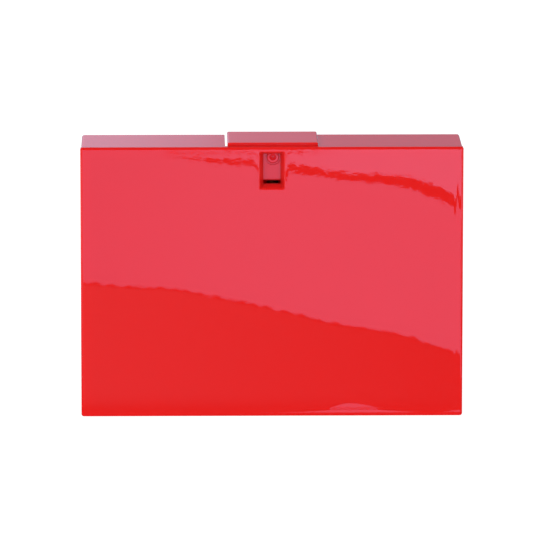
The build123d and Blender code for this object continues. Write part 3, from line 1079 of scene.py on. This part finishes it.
def smooth_line(points: Sequence[tuple[float, float]], where: float) -> float:
    """Read a smooth curve through a few points, straight on beyond its ends.

    Args:
        points: Places and values, in order of place.
        where: The place to read.

    Returns:
        The value there.
    """
    if where <= points[0][0]:
        return points[0][1]
    if where >= points[-1][0]:
        return points[-1][1]
    index = max(i for i, (place, _) in enumerate(points) if place <= where)
    index = min(index, len(points) - 2)

    def slope(i: int) -> float:
        """Return the curve's slope at one of its points."""
        before, after = max(i - 1, 0), min(i + 1, len(points) - 1)
        return (points[after][1] - points[before][1]) / (points[after][0] - points[before][0])

    (x0, y0), (x1, y1) = points[index], points[index + 1]
    width = x1 - x0
    t = (where - x0) / width
    return (
        (2 * t**3 - 3 * t**2 + 1) * y0
        + (t**3 - 2 * t**2 + t) * width * slope(index)
        + (3 * t**2 - 2 * t**3) * y1
        + (t**3 - t**2) * width * slope(index + 1)
    )


class Lay(Enum):
    """How a reflector card stands."""

    FLAT = "flat"
    UPRIGHT = "upright"


COOL = rgb(0.62, 0.80, 1.35)
PALE = rgb(0.80, 0.86, 1.0)
# How a card fades in at an edge: share of the soft band, and share of the full strength
FADE = ((0.0, 0.0), (0.3, 0.2), (0.7, 0.8), (1.0, 1.0))


@dataclass
class Reflector:
    """A bright card that only shows as a reflection in glossy surfaces.

    Its two long edges are curves over x, in millimetres: over y for a card that lies flat on the floor, and
    over z for one that stands upright at a depth. Its light fades out over a soft band at either edge. An
    edge can stray from its curve as a creased sheet's does: edges with the same seed stray together, and an
    edge with no seed doesn't.
    """

    name: str
    near: Sequence[tuple[float, float]]
    far: Sequence[tuple[float, float]]
    strength: Sequence[tuple[float, float]]
    soft_near: float
    soft_far: float
    colour: Colour = COOL
    ragged: float = 0.0
    ragged_scale: float = 0.07
    fine_scale: float = 5.3
    fine_share: float = 2.4
    seed_step: float = 3.7
    fine_row: float = 9.0
    seeds: tuple[int | None, int | None] = (0, 1)
    lay: Lay = Lay.FLAT
    depth: float = 0.0
    soft_most: float = 0.4
    columns: int = 600

    def wander(self, x: float, edge: int) -> float:
        """Work out how far a creased edge strays from its curve.

        Args:
            x: The place along the card, in millimetres.
            edge: 0 for the near edge, 1 for the far one.

        Returns:
            The distance, in millimetres.
        """
        seed = self.seeds[edge]
        if not self.ragged or seed is None:
            return 0.0
        along, row = x * self.ragged_scale, self.seed_step * seed
        coarse = noise.noise(Vector((along, row, 0.0)))
        fine = noise.noise(Vector((along * self.fine_scale, row, self.fine_row)))
        return self.ragged * (coarse + self.fine_share * fine)

    def build(self) -> bpy.types.Object:
        """Make the card.

        Returns:
            The card.
        """
        shape = bmesh.new()
        glow = shape.verts.layers.float.new("glow")
        start = max(self.near[0][0], self.far[0][0])
        stop = min(self.near[-1][0], self.far[-1][0])
        grid = []
        for column in range(self.columns + 1):
            x = start + (stop - start) * column / self.columns
            near = smooth_line(self.near, x) + self.wander(x, 0)
            far = smooth_line(self.far, x) + self.wander(x, 1)
            strength = smooth_line(self.strength, x)
            # Where the card is narrow, its soft bands shrink with it
            limit = abs(far - near) * self.soft_most
            way = 1.0 if far > near else -1.0
            fade_near = way * min(self.soft_near, limit)
            fade_far = way * min(self.soft_far, limit)
            profile = [(near + fade_near * share, level) for share, level in FADE]
            profile += [(far - fade_far * share, level) for share, level in reversed(FADE)]
            line = []
            for place, level in profile:
                spot = (x, place, 0.0) if self.lay is Lay.FLAT else (x, self.depth, place)
                corner = shape.verts.new(Vector(spot) * MM)
                corner[glow] = level * strength
                line.append(corner)
            grid.append(line)
        for left, right in zip(grid, grid[1:]):
            for row in range(len(left) - 1):
                shape.faces.new((left[row], right[row], right[row + 1], left[row + 1]))
        card = mesh_piece(self.name, shape)
        self.light(card)
        return card

    def light(self, card: bpy.types.Object) -> None:
        """Give a card its glow, and hide it from all but glossy rays.

        Args:
            card: The card, whose points carry a "glow" level.
        """
        made = bpy.data.materials.new(self.name)
        made.use_nodes = True
        graph = Graph(made.node_tree)
        made.node_tree.nodes.remove(made.node_tree.nodes["Principled BSDF"])
        level = graph.node("ShaderNodeAttribute", attribute_name="glow")
        lamp = graph.node("ShaderNodeEmission")
        lamp.inputs["Color"].default_value = self.colour
        graph.wire(level.outputs["Fac"], lamp.inputs["Strength"])
        # Where a card has faded out it is clear, so the ones behind it show
        clear = graph.node("ShaderNodeBsdfTransparent")
        both = graph.node("ShaderNodeAddShader")
        graph.wire(lamp.outputs[0], both.inputs[0])
        graph.wire(clear.outputs[0], both.inputs[1])
        graph.wire(both.outputs[0], made.node_tree.nodes["Material Output"].inputs["Surface"])
        card.data.materials.append(made)
        only_in_reflections(card)


def only_in_reflections(thing: bpy.types.Object) -> None:
    """Hide a stage piece from everything but glossy rays.

    Args:
        thing: The card or wall.
    """
    thing.visible_camera = False
    thing.visible_diffuse = False
    thing.visible_transmission = False
    thing.visible_shadow = False
    thing.visible_volume_scatter = False


@dataclass
class Viewpoint:
    """The camera: in front of the case, a little above it and far away, with a long lens."""

    place: Point = (-29.9, -1800.0, 381.2)
    yaw: float = 0.963
    pitch: float = 10.685
    roll: float = 0.03
    lens: float = 403.2
    sensor: float = 36.0
    clip: tuple[float, float] = (0.01, 50.0)

    def build(self) -> bpy.types.Object:
        """Place the camera and make it the scene's.

        Returns:
            The camera.
        """
        data = bpy.data.cameras.new("camera")
        data.lens = self.lens
        data.sensor_width = self.sensor
        data.clip_start, data.clip_end = self.clip
        camera = bpy.data.objects.new("camera", data)
        camera.location = Vector(self.place) * MM
        look = Euler((math.radians(90.0 - self.pitch), 0.0, math.radians(-self.yaw)), "XYZ").to_matrix()
        tilt = Euler((0.0, 0.0, math.radians(self.roll)), "XYZ").to_matrix()
        camera.rotation_euler = (look @ tilt).to_euler()
        bpy.context.scene.collection.objects.link(camera)
        bpy.context.scene.camera = camera
        return camera


@dataclass
class Studio:
    """The plain pale floor, the soft light and the cards that the glossy case mirrors."""

    floor_half: float = 6.0
    floor_colour: Colour = rgb(0.25, 0.25, 0.25)
    floor_seen: float = 0.93
    floor_glow: float = 0.73
    horizon: float = 1.15
    zenith: float = 0.68
    ahead: float = 0.30
    aside: float = 0.34
    gloom: float = 0.018
    cards: list[Reflector] = field(default_factory=list)

    def floor(self) -> None:
        """Lay the floor: pale, evenly lit, with only a trace of contact shadow."""
        shape = bmesh.new()
        signs = ((-1, -1), (1, -1), (1, 1), (-1, 1))
        shape.faces.new([shape.verts.new((x * self.floor_half, y * self.floor_half, 0.0)) for x, y in signs])
        floor = mesh_piece("floor", shape)
        floor.visible_glossy = False
        made = bpy.data.materials.new("floor_pale")
        made.use_nodes = True
        graph = Graph(made.node_tree)
        shader = made.node_tree.nodes["Principled BSDF"]
        shader.inputs["Base Color"].default_value = self.floor_colour
        shader.inputs["Roughness"].default_value = 1.0
        shader.inputs["Specular IOR Level"].default_value = 0.0
        shader.inputs["Emission Color"].default_value = WHITE
        seen = graph.node("ShaderNodeLightPath").outputs["Is Camera Ray"]
        graph.wire(graph.spread(seen, self.floor_glow, self.floor_seen), shader.inputs["Emission Strength"])
        floor.data.materials.append(made)

    def world(self) -> None:
        """Light everything evenly, show white behind, and keep reflections of the sky dim."""
        world = bpy.data.worlds.new("studio")
        bpy.context.scene.world = world
        world.use_nodes = True
        graph = Graph(world.node_tree)
        back = world.node_tree.nodes["Background"]
        path = graph.node("ShaderNodeLightPath")
        way = graph.axes(graph.node("ShaderNodeTexCoord").outputs["Generated"])
        # Brightest low in front, a little brighter on the left than on the right
        sky = graph.spread(way["Z"], self.horizon, self.zenith)
        sky = graph.maths("SUBTRACT", sky, graph.maths("MULTIPLY", way["Y"], self.ahead))
        sky = graph.maths("SUBTRACT", sky, graph.maths("MULTIPLY", way["X"], self.aside))
        glossy = graph.spread(path.outputs["Is Glossy Ray"], sky, self.gloom)
        graph.wire(graph.maths("MAXIMUM", glossy, path.outputs["Is Camera Ray"]), back.inputs["Strength"])
        back.inputs["Color"].default_value = WHITE

    def build(self) -> None:
        """Set up the studio."""
        self.floor()
        self.world()
        for card in self.cards:
            card.build()
        bpy.context.scene.view_settings.view_transform = "Standard"
        bpy.context.scene.view_settings.look = "None"
        log.info("studio: floor, sky and %d cards", len(self.cards))


# Edges and strengths that two cards share, over x in millimetres
NEAR_EDGE = [
    (-200, -228), (-59, -224), (-44, -217), (-27, -211), (-11, -194), (9, -172),
    (21, -154), (34, -144), (46, -131), (57, -110), (64, -94), (110, -30),
]
FAR_STRENGTH = [(-200, 1.3), (-34, 1.4), (15, 2.0), (40, 2.15), (200, 2.1)]


def front_cards() -> list[Reflector]:
    """Lay out the cards in front of the case, whose edges make the sheen's outlines on the front panel.

    Returns:
        The cards.
    """
    near_sheet = Reflector(
        "card_near",
        near=NEAR_EDGE,
        far=[
            (-200, -478), (-38, -478.2), (-28, -477), (-17, -469), (-2, -460), (16, -443), (30, -429),
            (48, -418), (57, -406), (66, -385), (76, -358), (110, -290),
        ],
        strength=[(-200, 1.2), (-60, 1.32), (0, 1.5), (110, 1.5)],
        soft_near=5.0,
        soft_far=1.0,
        ragged=2.0,
    )
    far_sheet = Reflector(
        "card_far",
        near=[
            (-200, -477), (-38, -477.2), (-28, -477.8), (-17, -475), (0, -471), (17, -458), (30, -443.5),
            (48, -437), (61, -425), (68, -408), (76, -388), (200, -290),
        ],
        far=[(-200, -488), (-34, -488), (-30, -486.6), (14, -485.4), (24, -486.4), (28, -488), (200, -488)],
        strength=FAR_STRENGTH,
        soft_near=1.0,
        soft_far=0.3,
        ragged=2.0,
        seeds=(1, None),
    )
    beyond_sheet = Reflector(
        "card_beyond",
        near=[(-200, -488), (-34, -488), (-14, -488.6), (14, -489.4), (24, -488.6), (28, -488), (200, -488)],
        far=[(-200, -640), (200, -640)],
        strength=FAR_STRENGTH,
        soft_near=0.3,
        soft_far=30.0,
    )
    apron = Reflector(
        "card_apron",
        near=[(-200, -16), (110, -16)],
        far=NEAR_EDGE,
        colour=rgb(0.8, 0.9, 1.1),
        strength=[(-200, 0.36), (-60, 0.31), (20, 0.16), (60, 0.06), (110, 0.0)],
        soft_near=30.0,
        soft_far=3.0,
    )
    lens = Reflector(
        "card_lens",
        near=[(17.6, -20), (31.9, -20)],
        far=[(17.6, -24), (22, -30), (24.4, -30.8), (28.2, -28.5), (31.9, -24.5)],
        strength=[(17, 1.3), (32, 1.3)],
        soft_near=0.2,
        soft_far=0.6,
    )
    sliver = Reflector(
        "card_sliver",
        near=[(-4, -17.0), (45, -17.0)],
        far=[(-4, -17.2), (8, -18.2), (20, -20.6), (32, -20.6), (45, -17.2)],
        strength=[(-4, 0.5), (16, 1.3), (35, 1.3), (45, 0.5)],
        soft_near=0.2,
        soft_far=0.4,
    )
    tip = Reflector(
        "card_tip",
        near=[(51, -17.0), (58, -17.0)],
        far=[(51, -17.3), (56, -20.5), (58, -20.5)],
        strength=[(51, 0.8), (58, 1.3)],
        soft_near=0.2,
        soft_far=0.4,
    )
    return [near_sheet, far_sheet, beyond_sheet, apron, lens, sliver, tip]


def room_cards() -> list[Reflector]:
    """Lay out the cards behind and beside the case, for its top, back and end faces.

    Returns:
        The cards.
    """
    backdrop = Reflector(
        "card_back",
        near=[(-900, 40), (900, 40)],
        far=[(-900, 700), (900, 700)],
        colour=rgb(0.72, 0.80, 1.08),
        strength=[
            (-900, 0.9), (-72, 0.83), (-17, 0.66), (2, 0.52),
            (30, 0.47), (55, 0.42), (200, 0.38), (900, 0.36),
        ],
        soft_near=60.0,
        soft_far=120.0,
        lay=Lay.UPRIGHT,
        depth=1000.0,
    )
    rear = Reflector(
        "card_rear",
        near=[(-900, 110), (-200, 120), (0, 140), (200, 185), (900, 260)],
        far=[(-900, 900), (900, 900)],
        colour=PALE,
        strength=[(-900, 1.0), (900, 1.3)],
        soft_near=14.0,
        soft_far=200.0,
    )
    sides = [
        Reflector(
            f"card_{label}",
            near=[(start, -420), (stop, -420)],
            far=[(start, 95), (stop, 95)],
            colour=PALE,
            strength=strength,
            soft_near=160.0,
            soft_far=60.0,
        )
        for label, start, stop, strength in (
            ("left", -900, -150, [(-900, 1.0), (-320, 1.0), (-150, 0.0)]),
            ("right", 150, 900, [(150, 0.0), (320, 0.8), (900, 0.8)]),
        )
    ]
    return [backdrop, rear, *sides]


def main() -> None:
    """Build the atomiser's looks and its studio, in order."""
    logging.basicConfig(level=logging.INFO, format="%(message)s")
    Case().build()
    PushButton().build()
    Pump().build()
    Flacon().build()
    ReturnSpring().build()
    Cushions().build()
    Viewpoint().build()
    Studio(cards=[*front_cards(), *room_cards()]).build()


if __name__ == "__main__":
    main()
